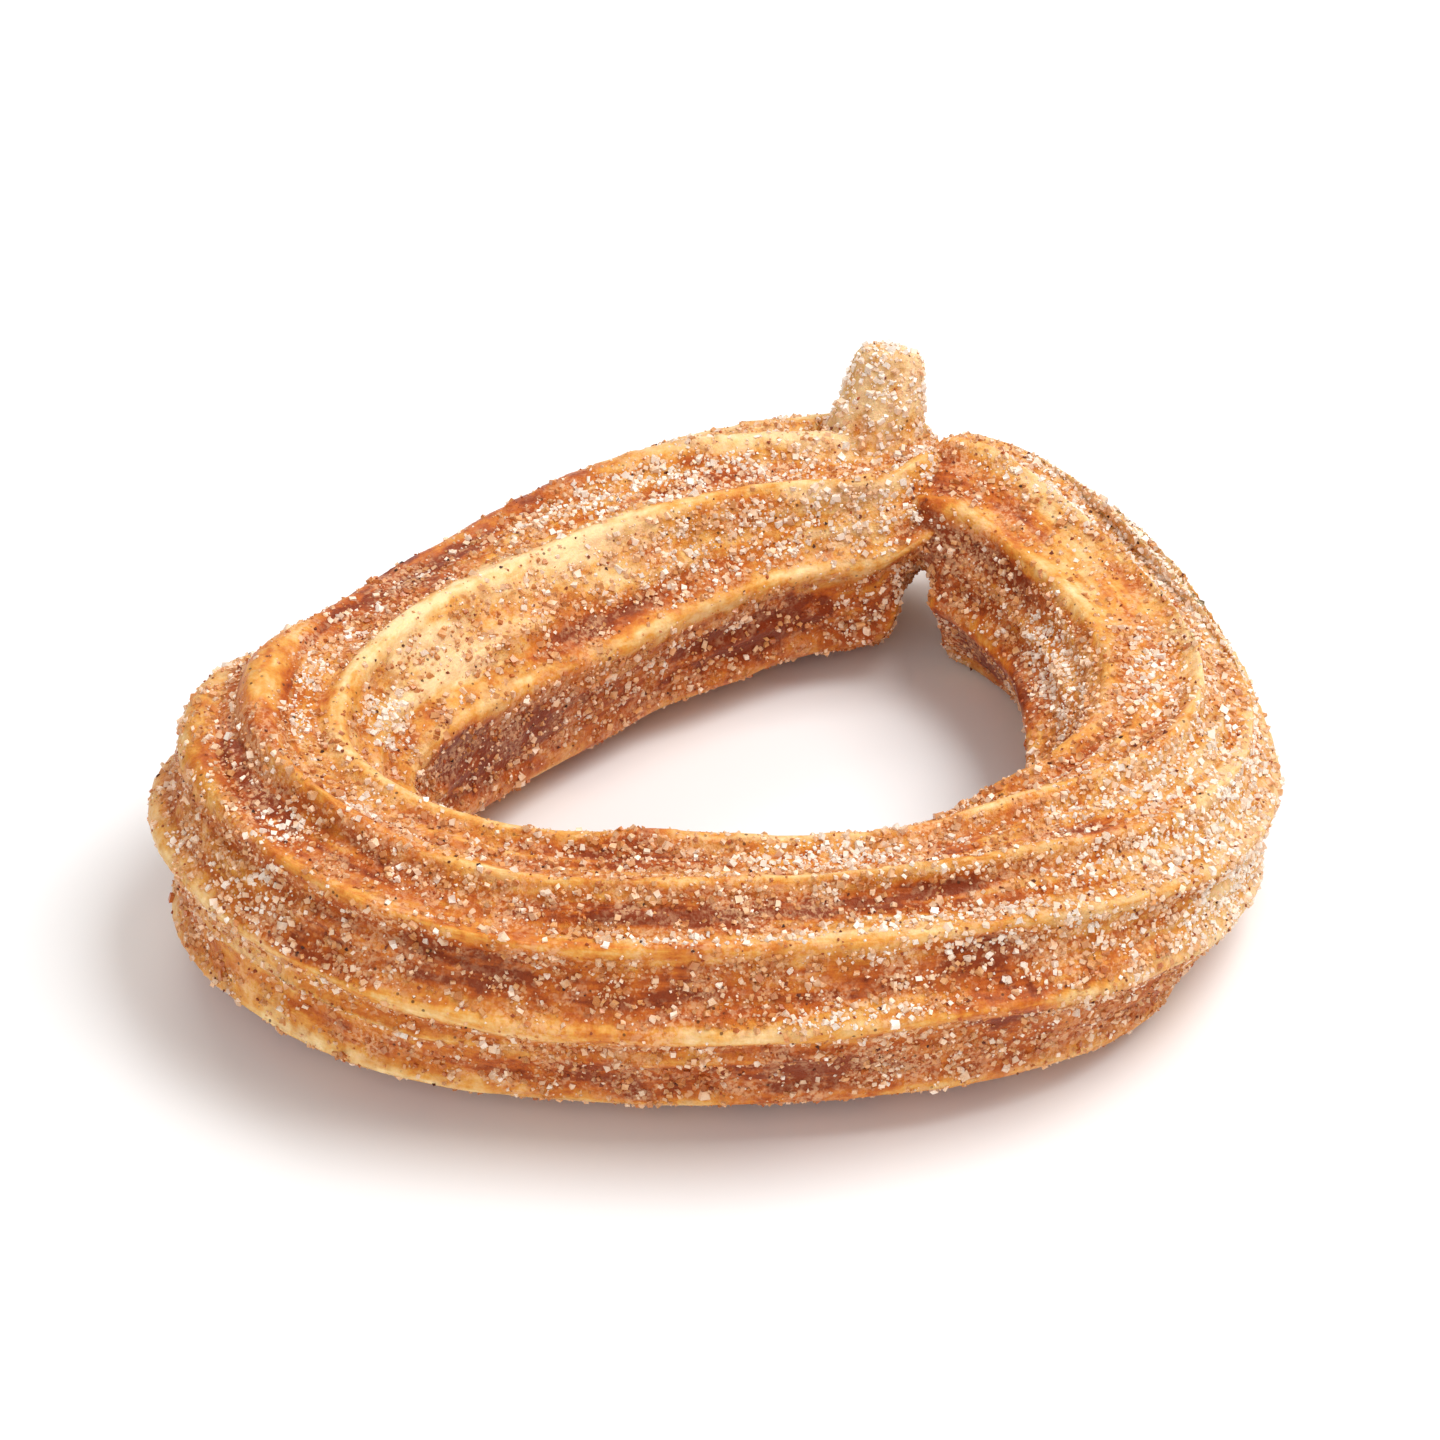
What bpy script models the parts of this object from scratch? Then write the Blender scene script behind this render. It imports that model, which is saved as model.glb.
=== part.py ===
"""A loop churro: one strand of dough, piped through a star nozzle, bent into a loop and fried.

The two blunt ends are pressed together at the back right of the loop, and a short tail of dough
stands up beside the seam. Metres, +Z up, +Y away from the front. The loop lies flat on Z = 0, with
the centre of its bounding box over the origin.
"""

import bisect
import math

import bmesh
import bpy
from mathutils import Vector

MM = 0.001

# ---------------------------------------------------------------- driving dimensions, in millimetres
# The strand's route seen from above, from the end left of the seam, round the left side, the front
# and the right side, to the end right of the seam. The centreline is a B-spline that these points
# pull along, so its bends stay wider than the strand.
LOOP_ROUTE = [
    (17.2, 27.4),
    (4.0, 26.0),
    (-9.0, 17.5),
    (-22.0, 5.5),
    (-29.0, -3.0),
    (-29.5, -12.5),
    (-22.5, -20.5),
    (-11.0, -23.0),
    (8.0, -24.0),
    (23.5, -19.0),
    (31.0, -7.5),
    (30.0, 8.5),
    (26.0, 19.0),
    (20.5, 25.5),
    (14.6, 27.0),
]
STRAND_RADIUS = 9.2  # to the ridges' crests, mean round the loop
STRAND_SWELL = 0.6  # the strand is thicker at the front than at its ends
UNEVENNESS = [(0.14, 3, 0.1), (0.1, 7, 0.4)]  # waves of the radius: height, count and start
SINK = 0.55  # how far the dough has settled on the surface that it lies on

RIDGES = 8
RIDGE_DEPTH = 0.165  # crest to groove, as a share of the radius
RIDGE_SHARPNESS = 1.5  # above 1, crests are narrow and grooves are wide
RIDGE_LEAN = 0.35  # crests lean towards the top of the strand
RIDGE_WANDER = 0.12  # share of its height that a crest gains and loses along the strand
WANDER_WAVES = 4
WANDER_SHIFT = 3  # how far each ridge's waves are out of step with the first ridge's
UNDERSIDE_SMOOTHING = 0.6  # share of the ridge depth that is lost underneath
FIRST_RIDGE = math.radians(5)  # angles round the strand: 0 faces out of the loop, 90 is up
CROWDING = math.radians(18)  # ridges stand closer together on the upper outer side
CROWDING_FROM = math.radians(-100)
VALLEY = math.radians(28)  # two ridges part round a broad valley on the left arm's inner side
VALLEY_SIDE = math.radians(140)
VALLEY_AT = 0.2  # share of the strand's length
VALLEY_LENGTH = 0.09
# How far the ridges have turned round the strand, in degrees, at even steps along it.
RIDGE_DRIFT = [-6, -12, -38, -20, 3, -18, -5, -14, -69, -37, -42]

LEFT_CAP = 3.6  # length over which the left end rounds off
RIGHT_CAP = 3.4
CAP_SQUARENESS = 2.7  # 2 is a half ellipse, more is blunter
LEFT_NOTCH = 4.4  # the left end stops short by this much on its lower inner half
RIGHT_NOTCH = 3.4
NOTCH_REACH = 9.0  # from a tip to where the notch's pull on the skin has faded out
NOTCH_TILT = math.radians(38)  # the notch opens down and inwards
NOTCH_EDGE = 0.5  # share of the radius over which the notch sets in

TAIL_ROUTE = [(10.0, 28.0, 10.0), (11.8, 29.8, 15.6), (12.5, 31.0, 19.0), (12.8, 32.0, 21.4)]
TAIL_RADIUS = [4.6, 3.7, 3.1, 2.8]
TAIL_FLATTENING = 0.78  # the tail is wider from left to right than from front to back
TAIL_CAP = 1.6

# ---------------------------------------------------------------- mesh density
POINTS_AROUND = 48
STATIONS = 76
CAP_RINGS = 5
TAIL_POINTS_AROUND = 16
TAIL_STATIONS = 8
ROUTE_STEPS = 24  # fine steps between two route points, for measuring length

CRUST_COLOUR = (0.62, 0.32, 0.12, 1.0)
CRUST_ROUGHNESS = 0.6


def clear_scene():
    for old in list(bpy.data.objects):
        bpy.data.objects.remove(old)


def curve_point(before, start, end, after, t):
    """A point on one piece of a uniform cubic B-spline."""
    weights = (
        (1 - t) ** 3,
        3 * t**3 - 6 * t**2 + 4,
        -3 * t**3 + 3 * t**2 + 3 * t + 1,
        t**3,
    )
    points = (before, start, end, after)
    return sum((point * weight / 6 for point, weight in zip(points, weights)), start * 0)


def smooth_line(route):
    """Fine points on a smooth curve from the route's first point to its last."""
    route = [Vector(point) for point in route]
    ends = [2 * route[0] - route[1], *route, 2 * route[-1] - route[-2]]
    line = []
    for i in range(1, len(ends) - 2):
        for step in range(ROUTE_STEPS):
            line.append(curve_point(*ends[i - 1 : i + 3], step / ROUTE_STEPS))
    return [*line, route[-1]]


def lengths_along(line):
    """The distance of each point from the line's start."""
    lengths = [0.0]
    for a, b in zip(line, line[1:]):
        lengths.append(lengths[-1] + (b - a).length)
    return lengths


def place_at(line, lengths, distance):
    """The point at this distance along the line, and the line's direction there."""
    i = min(max(bisect.bisect_left(lengths, distance), 1), len(line) - 1)
    share = (distance - lengths[i - 1]) / (lengths[i] - lengths[i - 1])
    before = line[max(i - 3, 0)]
    after = line[min(i + 2, len(line) - 1)]
    return line[i - 1].lerp(line[i], share), (after - before).normalized()


def cap_share(distance, cap):
    """How wide the strand is at this distance from its tip, from 0 to 1."""
    if distance >= cap:
        return 1.0
    inside = 1 - distance / cap
    return (1 - inside**CAP_SQUARENESS) ** (1 / CAP_SQUARENESS)


def station_distances(length, stations, first_cap, last_cap):
    """Even stations along the strand, with rings closer together in the two rounded ends."""
    bends = [math.sin(math.pi / 2 * ring / CAP_RINGS) for ring in range(CAP_RINGS)]
    first = [first_cap * (1 - math.cos(math.asin(bend))) for bend in bends[1:]]
    last = [length - last_cap * (1 - math.cos(math.asin(bend))) for bend in bends[:0:-1]]
    run = length - last_cap - first_cap
    middle = [first_cap + run * step / stations for step in range(stations + 1)]
    return [*first, *middle, *last]


def strand_radius(along):
    """Radius to the crests at this share of the strand's length."""
    radius = STRAND_RADIUS - STRAND_SWELL * math.cos(2 * math.pi * along)
    for height, count, start in UNEVENNESS:
        radius += height * math.sin(2 * math.pi * (count * along + start))
    return radius


def ridge_height(turn, along):
    """1 on a crest and 0 in a groove, for a line of the dough at this turn round the strand."""
    phase = turn * RIDGES + RIDGE_LEAN * math.sin(turn * RIDGES)
    height = (0.5 + 0.5 * math.cos(phase)) ** RIDGE_SHARPNESS
    wander = RIDGE_WANDER * math.sin(2 * math.pi * WANDER_WAVES * along + WANDER_SHIFT * turn)
    return height * (1 - RIDGE_WANDER + wander)


def drift_at(along):
    """How far the ridges have turned round the strand at this share of its length."""
    first, last = RIDGE_DRIFT[0], RIDGE_DRIFT[-1]
    knots = [2 * first - RIDGE_DRIFT[1], *RIDGE_DRIFT, 2 * last - RIDGE_DRIFT[-2]]
    step = min(max(along, 0.0) * (len(RIDGE_DRIFT) - 1), len(RIDGE_DRIFT) - 1.001)
    return math.radians(curve_point(*knots[int(step) : int(step) + 4], step - int(step)))


def skin_angle(turn, along):
    """Where a line of the dough lies round the strand: 0 faces out of the loop and 90 degrees up."""
    laid = turn + FIRST_RIDGE
    valley = VALLEY * math.exp(-(((along - VALLEY_AT) / VALLEY_LENGTH) ** 2))
    spread = CROWDING * math.sin(laid - CROWDING_FROM) + valley * math.sin(laid - VALLEY_SIDE)
    return laid + spread + drift_at(along)


def notch_pull(distance, notch, depth_below):
    """How far the notch pulls the skin back at this distance from a tip."""
    below = min(max(depth_below / NOTCH_EDGE, 0.0), 1.0)
    fade = max(0.0, 1 - distance / NOTCH_REACH)
    return notch * below**2 * (3 - 2 * below) * fade


def strand_point(line, lengths, distance, turn):
    """A point on the strand's skin, on the line of the dough at this turn round the strand."""
    along = distance / lengths[-1]
    to_end = lengths[-1] - distance
    width = cap_share(distance, LEFT_CAP) * cap_share(to_end, RIGHT_CAP)
    angle = skin_angle(turn, along)
    underside = max(0.0, -math.sin(angle)) ** 2
    depth = RIDGE_DEPTH * (1 - UNDERSIDE_SMOOTHING * underside) * width
    radius = strand_radius(along) * width * (1 - depth * (1 - ridge_height(turn, along)))
    below = -math.sin(angle + NOTCH_TILT) * width
    pull = notch_pull(distance, LEFT_NOTCH, below) - notch_pull(to_end, RIGHT_NOTCH, below)
    centre, direction = place_at(line, lengths, distance + pull)
    outward = Vector((direction.y, -direction.x, 0))
    place = Vector((*centre, strand_radius(along) - SINK))
    place += radius * (math.cos(angle) * outward + math.sin(angle) * Vector((0, 0, 1)))
    place.z = max(place.z, 0.0)
    return place


def tube_mesh(name, rings, first_tip, last_tip):
    """A closed tube through rings of points, drawn to a tip at each end."""
    bm = bmesh.new()
    loops = [[bm.verts.new(point) for point in ring] for ring in rings]
    count = len(loops[0])
    for low, high in zip(loops, loops[1:]):
        for i in range(count):
            j = (i + 1) % count
            bm.faces.new((low[i], low[j], high[j], high[i]))
    for loop, tip in ((loops[0], first_tip), (loops[-1], last_tip)):
        end = bm.verts.new(tip)
        for i in range(count):
            bm.faces.new((loop[i], loop[(i + 1) % count], end))
    bmesh.ops.triangulate(bm, faces=bm.faces)
    bmesh.ops.recalc_face_normals(bm, faces=bm.faces)
    mesh = bpy.data.meshes.new(name)
    bm.to_mesh(mesh)
    bm.free()
    return mesh


def strand_mesh():
    line = smooth_line(LOOP_ROUTE)
    lengths = lengths_along(line)
    turns = [2 * math.pi * i / POINTS_AROUND for i in range(POINTS_AROUND)]
    rings = [
        [strand_point(line, lengths, distance, turn) for turn in turns]
        for distance in station_distances(lengths[-1], STATIONS, LEFT_CAP, RIGHT_CAP)
    ]
    tips = [strand_point(line, lengths, distance, 0.0) for distance in (0.0, lengths[-1])]
    return tube_mesh("strand", rings, *tips)


def tail_radius(along):
    """Radius of the tail at this share of its length."""
    knot = along * (len(TAIL_RADIUS) - 1)
    i = min(int(knot), len(TAIL_RADIUS) - 2)
    return TAIL_RADIUS[i] + (TAIL_RADIUS[i + 1] - TAIL_RADIUS[i]) * (knot - i)


def tail_mesh():
    """The tail of dough that the nozzle drew out, from inside the left end to its blunt tip."""
    line = smooth_line(TAIL_ROUTE)
    lengths = lengths_along(line)
    length = lengths[-1]
    turns = [2 * math.pi * i / TAIL_POINTS_AROUND for i in range(TAIL_POINTS_AROUND)]
    rings = []
    for distance in station_distances(length, TAIL_STATIONS, TAIL_CAP, TAIL_CAP):
        centre, direction = place_at(line, lengths, distance)
        side = direction.cross(Vector((0, 1, 0))).normalized()
        back = side.cross(direction).normalized() * TAIL_FLATTENING
        radius = tail_radius(distance / length)
        radius *= cap_share(distance, TAIL_CAP) * cap_share(length - distance, TAIL_CAP)
        rings.append(
            [centre + radius * (math.cos(turn) * side + math.sin(turn) * back) for turn in turns]
        )
    return tube_mesh("tail", rings, line[0], line[-1])


def centre_and_scale(meshes):
    """Moves the meshes so that the middle of their box is over the origin, and turns mm into m."""
    corners = [vertex.co for mesh in meshes for vertex in mesh.vertices]
    low = Vector([min(corner[axis] for corner in corners) for axis in range(3)])
    high = Vector([max(corner[axis] for corner in corners) for axis in range(3)])
    middle = (low + high) / 2
    for mesh in meshes:
        for vertex in mesh.vertices:
            vertex.co = (vertex.co - Vector((middle.x, middle.y, low.z))) * MM


def crust_material():
    material = bpy.data.materials.new("fried_crust")
    material.use_nodes = True
    shader = material.node_tree.nodes["Principled BSDF"]
    shader.inputs["Base Color"].default_value = CRUST_COLOUR
    shader.inputs["Roughness"].default_value = CRUST_ROUGHNESS
    shader.inputs["Metallic"].default_value = 0.0
    return material


def add_object(name, mesh, material):
    new = bpy.data.objects.new(name, mesh)
    mesh.materials.append(material)
    bpy.context.scene.collection.objects.link(new)
    return new


def main():
    clear_scene()
    crust = crust_material()
    strand, tail = strand_mesh(), tail_mesh()
    centre_and_scale([strand, tail])
    churro = add_object("churro", strand, crust)
    tail_shape = add_object("tail_shape", tail, crust)
    tail_shape.hide_render = True
    tail_shape.display_type = "WIRE"
    # The union joins the tail to the strand, and the strand's two ends where they press together.
    join = churro.modifiers.new("join_tail_and_ends", "BOOLEAN")
    join.operation = "UNION"
    join.solver = "EXACT"
    join.use_self = True
    join.object = tail_shape


main()
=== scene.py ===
# %% [markdown]
# # A loop churro in cinnamon sugar
#
# A churro is dough pressed through a star nozzle and fried. The star leaves ridges along the strand,
# the oil turns their crests golden, and the sugar that it is tossed in stays mostly in the grooves.
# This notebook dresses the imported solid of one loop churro: a finely ridged crust, three sizes of
# sugar crystal and the dark specks of ground cinnamon.
#
# Everything here is in metres, in the frame's own space.

# %% Load the frame
import math

import bmesh
import bpy
import numpy as np
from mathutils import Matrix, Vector


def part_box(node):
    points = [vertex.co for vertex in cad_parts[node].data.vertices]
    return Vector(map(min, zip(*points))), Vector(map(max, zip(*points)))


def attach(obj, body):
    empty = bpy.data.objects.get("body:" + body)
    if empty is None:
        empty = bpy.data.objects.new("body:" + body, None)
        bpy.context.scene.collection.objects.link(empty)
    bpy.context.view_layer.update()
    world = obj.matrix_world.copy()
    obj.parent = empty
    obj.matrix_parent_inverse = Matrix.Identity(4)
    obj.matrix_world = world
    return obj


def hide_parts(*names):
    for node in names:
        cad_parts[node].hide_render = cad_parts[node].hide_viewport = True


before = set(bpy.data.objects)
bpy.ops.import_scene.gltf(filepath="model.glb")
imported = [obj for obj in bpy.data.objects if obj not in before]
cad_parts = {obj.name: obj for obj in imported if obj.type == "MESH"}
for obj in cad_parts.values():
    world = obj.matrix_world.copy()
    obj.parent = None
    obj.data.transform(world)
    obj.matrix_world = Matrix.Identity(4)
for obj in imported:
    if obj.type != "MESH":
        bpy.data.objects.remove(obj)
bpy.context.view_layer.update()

LOW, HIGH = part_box("churro")
MIDDLE = (LOW + HIGH) / 2
MM = 0.001
print("the solid measures", [round(side / MM, 1) for side in HIGH - LOW], "mm")

# %% [markdown]
# ## Camera and light
#
# The churro lies flat, and the camera looks down on it from the front at 38 degrees, through a long
# lens that keeps the far side of the loop nearly as large as the near side. A big soft lamp stands
# at the upper right, as a studio's softbox does, with a weaker one at the left and a bright
# room around them, so that the grooves stay warm brown and never black.

# %% Camera
VIEW_DOWN = math.radians(38)
VIEW_DISTANCE = 0.411
VIEW_WIDTH = 0.1  # what the frame shows from side to side at the churro, in metres
SENSOR = 36.0

camera_data = bpy.data.cameras.new("camera")
camera_data.sensor_width = SENSOR
camera_data.lens = SENSOR * VIEW_DISTANCE / VIEW_WIDTH
camera_data.clip_start = 0.01
camera = bpy.data.objects.new("camera", camera_data)
bpy.context.scene.collection.objects.link(camera)
look = Vector((0, math.cos(VIEW_DOWN), -math.sin(VIEW_DOWN)))
camera.location = MIDDLE - look * VIEW_DISTANCE
camera.rotation_euler = (math.pi / 2 - VIEW_DOWN, 0, 0)
bpy.context.scene.camera = camera
print("lens", round(camera_data.lens), "mm")


# %% Lights, room and floor
def soft_lamp(name, place, size, power, colour=(1, 1, 1)):
    """A square area lamp at this place, turned towards the churro."""
    data = bpy.data.lights.new(name, "AREA")
    data.size = size
    data.energy = power
    data.color = colour
    lamp = bpy.data.objects.new(name, data)
    lamp.location = MIDDLE + Vector(place)
    lamp.rotation_euler = Vector(place).to_track_quat("Z", "Y").to_euler()
    bpy.context.scene.collection.objects.link(lamp)
    return lamp


soft_lamp("key_softbox", (0.24, 0.03, 0.46), 0.36, 2.5)
soft_lamp("fill_softbox", (-0.16, -0.46, 0.26), 0.5, 1.0)
soft_lamp("back_softbox", (-0.1, 0.4, 0.34), 0.3, 0.7)

room = bpy.data.worlds.new("bright_room")
room.use_nodes = True
room.node_tree.nodes["Background"].inputs["Color"].default_value = (1.0, 0.98, 0.96, 1)
room.node_tree.nodes["Background"].inputs["Strength"].default_value = 0.42
bpy.context.scene.world = room
bpy.context.scene.view_settings.view_transform = "Standard"

FLOOR_SIZE = 3.0
floor_mesh = bpy.data.meshes.new("floor")
corners = [(x * FLOOR_SIZE / 2, y * FLOOR_SIZE / 2, LOW.z) for x, y in ((-1, -1), (1, -1), (1, 1), (-1, 1))]
floor_mesh.from_pydata(corners, [], [(0, 1, 2, 3)])
floor_paint = bpy.data.materials.new("pale_floor")
floor_paint.use_nodes = True
floor_paint.node_tree.nodes["Principled BSDF"].inputs["Base Color"].default_value = (0.93, 0.93, 0.93, 1)
floor_paint.node_tree.nodes["Principled BSDF"].inputs["Roughness"].default_value = 0.8
floor_mesh.materials.append(floor_paint)
floor = bpy.data.objects.new("floor", floor_mesh)
bpy.context.scene.collection.objects.link(floor)

# %% [markdown]
# ## Helpers for node trees
#
# The crust's shape is a formula, and so are its colours, so most of this notebook builds node trees.
# A `Wire` stands for a value that comes out of a node. Adding, multiplying or dividing Wires makes
# the Math nodes, so a formula reads as it would on paper. The same helpers serve geometry trees and
# material trees, because both have the Math node.


# %% Wires
def plug(tree, value, target):
    """Links a Wire to an input, or sets the input to a plain value."""
    if isinstance(value, Wire):
        tree.links.new(value.socket, target)
    else:
        target.default_value = value


class Wire:
    """A value in a node tree, with the signs of arithmetic."""

    def __init__(self, tree, socket):
        self.tree = tree
        self.socket = socket

    def math(self, operation, *others):
        node = self.tree.nodes.new("ShaderNodeMath")
        node.operation = operation
        for target, value in zip(node.inputs, (self, *others)):
            plug(self.tree, value, target)
        return Wire(self.tree, node.outputs[0])

    def __add__(self, other):
        return self.math("ADD", other)

    def __sub__(self, other):
        return self.math("SUBTRACT", other)

    def __mul__(self, other):
        return self.math("MULTIPLY", other)

    def __truediv__(self, other):
        return self.math("DIVIDE", other)

    def __pow__(self, other):
        return self.math("POWER", other)

    def __neg__(self):
        return self.math("MULTIPLY", -1.0)

    def __rsub__(self, other):
        return (-self).math("ADD", other)

    __radd__ = __add__
    __rmul__ = __mul__

    def sin(self):
        return self.math("SINE")

    def cos(self):
        return self.math("COSINE")

    def clamp(self):
        """Kept between 0 and 1."""
        return self.math("MAXIMUM", 0.0).math("MINIMUM", 1.0)

    def ramp(self, start, end):
        """0 before start, 1 past end, and a smooth rise between them. The two may be swapped."""
        node = self.tree.nodes.new("ShaderNodeMapRange")
        node.interpolation_type = "SMOOTHSTEP"
        for target, value in zip(node.inputs, (self, start, end, 0.0, 1.0)):
            plug(self.tree, value, target)
        return Wire(self.tree, node.outputs[0])


def add_node(tree, kind, inputs=(), output=0, **settings):
    """Makes a node, sets it and its inputs, and returns one of its outputs as a Wire."""
    node = tree.nodes.new(kind)
    for key, value in settings.items():
        setattr(node, key, value)
    for key, value in dict(inputs).items():
        plug(tree, value, node.inputs[key])
    return Wire(tree, node.outputs[output])


def store(tree, mesh, name, value, kind, domain="POINT"):
    """Keeps a value on every point of a mesh, under this name."""
    inputs = {"Geometry": mesh, "Name": name, "Value": value}
    return add_node(tree, "GeometryNodeStoreNamedAttribute", inputs, data_type=kind, domain=domain)


def named(tree, name, kind):
    """The value kept under this name."""
    return add_node(tree, "GeometryNodeInputNamedAttribute", {"Name": name}, data_type=kind)


def vector_math(tree, operation, *values, output=0):
    node = tree.nodes.new("ShaderNodeVectorMath")
    node.operation = operation
    slots = [node.inputs["Scale"]] if operation == "SCALE" else list(node.inputs[1:])
    for target, value in zip([node.inputs[0], *slots], values):
        plug(tree, value, target)
    return Wire(tree, node.outputs[output])


def noise(tree, where, size, detail=2.0, roughness=0.5, seed=0.0):
    """Cloudy noise around 0.5, with blobs of about this size in metres."""
    inputs = {"Vector": where, "W": seed, "Scale": 1 / size, "Detail": detail, "Roughness": roughness}
    return add_node(tree, "ShaderNodeTexNoise", inputs, noise_dimensions="4D")


def cells(tree, where, size, randomness=1.0):
    """The distance to the nearest of many scattered points, about 0 to 1."""
    inputs = {"Vector": where, "Scale": 1 / size, "Randomness": randomness}
    return add_node(tree, "ShaderNodeTexVoronoi", inputs, "Distance")


def parts(tree, vector):
    """The three numbers of a vector."""
    return [add_node(tree, "ShaderNodeSeparateXYZ", {0: vector}, i) for i in range(3)]


print("helpers ready")


# %% [markdown]
# A geometry tree takes a mesh and some named sizes, and gives a mesh back. `run_tree` puts a mesh
# through a tree, with every size set by its socket's identifier, and keeps the result as a plain
# mesh, so that nothing stays live in the finished scene.


# %% Geometry trees
SOCKET_KINDS = {int: "Int", float: "Float", bpy.types.Material: "Material", bpy.types.Object: "Object"}


def new_tree(name, sizes):
    """A geometry tree with a mesh input and these named inputs. Returns it and a Wire for each."""
    tree = bpy.data.node_groups.new(name, "GeometryNodeTree")
    face = tree.interface
    face.new_socket("Mesh", in_out="INPUT", socket_type="NodeSocketGeometry")
    for key, value in sizes.items():
        kind = SOCKET_KINDS[type(value)]
        socket = face.new_socket(key, in_out="INPUT", socket_type="NodeSocket" + kind)
        socket.default_value = value
    face.new_socket("Mesh", in_out="OUTPUT", socket_type="NodeSocketGeometry")
    start = tree.nodes.new("NodeGroupInput")
    given = {socket.name: Wire(tree, socket) for socket in start.outputs if socket.name}
    return tree, given


def close_tree(tree, mesh):
    """Ends a tree: instances become mesh, and the material is set."""
    real = add_node(tree, "GeometryNodeRealizeInstances", {"Geometry": mesh})
    material = next(node for node in tree.nodes if node.type == "GROUP_INPUT").outputs["Material"]
    done = add_node(tree, "GeometryNodeSetMaterial", {"Geometry": real, "Material": Wire(tree, material)})
    end = tree.nodes.new("NodeGroupOutput")
    tree.links.new(done.socket, end.inputs[0])


def run_tree(tree, mesh, sizes):
    """Puts a mesh through a tree and returns the result as a new plain mesh."""
    carrier = bpy.data.objects.new("carrier", mesh)
    bpy.context.scene.collection.objects.link(carrier)
    modifier = carrier.modifiers.new("nodes", "NODES")
    modifier.node_group = tree
    for item in tree.interface.items_tree:
        if item.in_out == "INPUT" and item.name in sizes:
            modifier[item.identifier] = sizes[item.name]
    result = plain_copy(carrier)
    bpy.data.objects.remove(carrier)
    return result


def plain_copy(obj):
    """The mesh that an object's modifiers make."""
    graph = bpy.context.evaluated_depsgraph_get()
    return bpy.data.meshes.new_from_object(obj.evaluated_get(graph), preserve_all_data_layers=True, depsgraph=graph)


print("tree helpers ready")

# %% [markdown]
# ## The strand's route and sizes
#
# The strand follows a B-spline, which these points pull along without it going through them. The
# sizes are the ones that the solid was built with, in millimetres, so that the crust fits over it.
# Each point of the fine line also carries the strand's radius there and how its ridges have turned.

# %% Route and sizes
LOOP_ROUTE = [
    (17.2, 27.4),
    (4.0, 26.0),
    (-9.0, 17.5),
    (-22.0, 5.5),
    (-29.0, -3.0),
    (-29.5, -12.5),
    (-22.5, -20.5),
    (-11.0, -23.0),
    (8.0, -24.0),
    (23.5, -19.0),
    (31.0, -7.5),
    (30.0, 8.5),
    (26.0, 19.0),
    (20.5, 25.5),
    (14.6, 27.0),
]
BOX_MIDDLE = (0.363, 1.189)  # where the solid's maker took the middle of the loop's box, in mm
STRAND_RADIUS = 9.2
STRAND_SWELL = 0.6
UNEVENNESS = [(0.14, 3, 0.1), (0.1, 7, 0.4)]
RIDGE_DRIFT = [-6, -12, -38, -20, 3, -18, -5, -14, -69, -37, -42]
VALLEY = math.radians(28)
VALLEY_AT = 0.2
VALLEY_LENGTH = 0.09
CURL = math.radians(25)  # the ridges turn up towards the tail over this share of the strand
CURL_LENGTH = 0.02
ROUTE_STEPS = 24

RIDGE_SIZES = {
    "Ridges": 8.0,
    "Ridge depth": 0.175,
    "Ridge sharpness": 2.5,
    "Ridge lean": 0.35,
    "Ridge wander": 0.12,
    "Ridge patchiness": 0.9,
    "Fine ridges": 0.42,
    "Underside smoothing": 0.6,
    "First ridge": math.radians(5),
    "Crowding": math.radians(18),
    "Crowding from": math.radians(-100),
    "Valley side": math.radians(140),
}
END_SIZES = {
    "Sink": 0.55 * MM,
    "Left cap": 3.6 * MM,
    "Right cap": 3.4 * MM,
    "Cap squareness": 2.7,
    "Left notch": 4.4 * MM,
    "Right notch": 3.4 * MM,
    "Notch reach": 9.0 * MM,
    "Notch tilt": math.radians(38),
    "Notch edge": 0.5,
    "Stretch": 0.16,
}


def b_spline(route, steps=ROUTE_STEPS):
    """Fine points on a uniform cubic B-spline from the route's first point to its last."""
    route = np.array(route, float)
    ends = np.vstack([2 * route[0] - route[1], route, 2 * route[-1] - route[-2]])
    t = np.arange(steps)[:, None] / steps
    weights = ((1 - t) ** 3, 3 * t**3 - 6 * t**2 + 4, -3 * t**3 + 3 * t**2 + 3 * t + 1, t**3)
    pieces = [sum(w * p for w, p in zip(weights, ends[i : i + 4])) / 6 for i in range(len(ends) - 3)]
    return np.vstack([*pieces, route[-1:]])


def spine_mesh():
    """The strand's centreline from above, with its radius, drift and valley at each point."""
    line = (b_spline(LOOP_ROUTE) - BOX_MIDDLE) * MM
    lengths = np.append(0, np.cumsum(np.linalg.norm(np.diff(line, axis=0), axis=1)))
    along = lengths / lengths[-1]
    radius = STRAND_RADIUS - STRAND_SWELL * np.cos(2 * math.pi * along)
    for height, count, start in UNEVENNESS:
        radius += height * np.sin(2 * math.pi * (count * along + start))
    drift = b_spline([[turn] for turn in RIDGE_DRIFT])[:, 0]
    drift = np.radians(np.interp(along, np.linspace(0, 1, len(drift)), drift))
    drift -= CURL * np.exp(-((along / CURL_LENGTH) ** 2))
    valley = VALLEY * np.exp(-(((along - VALLEY_AT) / VALLEY_LENGTH) ** 2))
    mesh = bpy.data.meshes.new("spine")
    edges = [(i, i + 1) for i in range(len(line) - 1)]
    mesh.from_pydata([(x, y, 0) for x, y in line], edges, [])
    shape = mesh.attributes.new("shape", "FLOAT_VECTOR", "POINT")
    shape.data.foreach_set("vector", np.stack([radius * MM, drift, valley], 1).ravel())
    return mesh, lengths[-1]


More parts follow.
